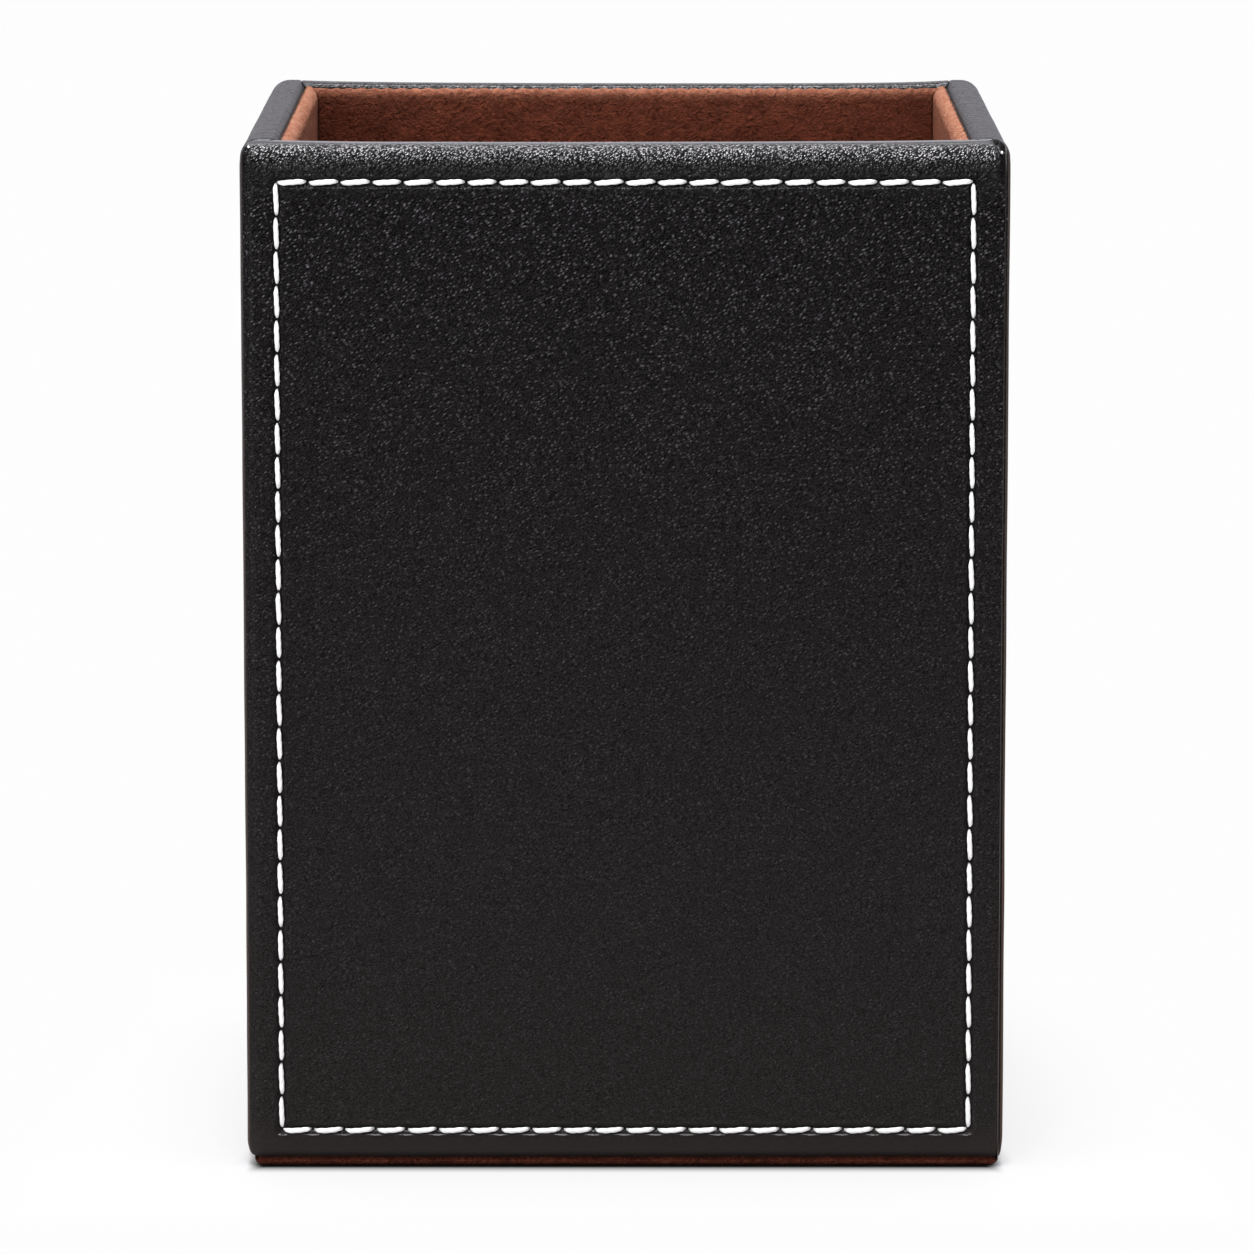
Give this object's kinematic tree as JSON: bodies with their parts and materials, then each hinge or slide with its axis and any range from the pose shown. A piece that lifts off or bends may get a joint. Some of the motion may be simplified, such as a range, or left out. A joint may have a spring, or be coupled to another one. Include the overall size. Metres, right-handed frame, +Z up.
{
  "type": "pen holder",
  "caption": "Square upright pen cup of leather-wrapped boards with a contrast-stitched front panel, a suede lining and a suede base pad; stands free on a desk and holds pens.",
  "frame": {"origin": "centre of the underside of the base pad, on the desk surface", "axes": "+Z up out of the open top, -Y towards the stitched front panel, +X to the right seen from the front"},
  "size_m": [0.075, 0.0752, 0.1015],
  "materials": {
    "black_leather": "black pebble-grain leather, satin",
    "white_thread": "bonded white sewing thread",
    "brown_suede": "red-brown suede with a short matte nap",
    "greyboard": "rigid grey board, uncoated",
    "lining_card": "thin buff card, uncoated",
    "padding_felt": "thin soft padding sheet"
  },
  "bodies": {
    "root": {"front_board": "greyboard", "front_padding": "padding_felt", "front_leather": "black_leather", "front_stitching": "white_thread", "front_bobbin_thread": "white_thread", "back_board": "greyboard", "back_leather": "black_leather", "left_board": "greyboard", "left_leather": "black_leather", "right_board": "greyboard", "right_leather": "black_leather", "bottom_board": "greyboard", "base_pad": "brown_suede", "front_lining_card": "lining_card", "front_lining_suede": "brown_suede", "back_lining_card": "lining_card", "back_lining_suede": "brown_suede", "left_lining_card": "lining_card", "left_lining_suede": "brown_suede", "right_lining_card": "lining_card", "right_lining_suede": "brown_suede", "floor_lining_card": "lining_card", "floor_lining_suede": "brown_suede"}
  },
  "joints": []
}
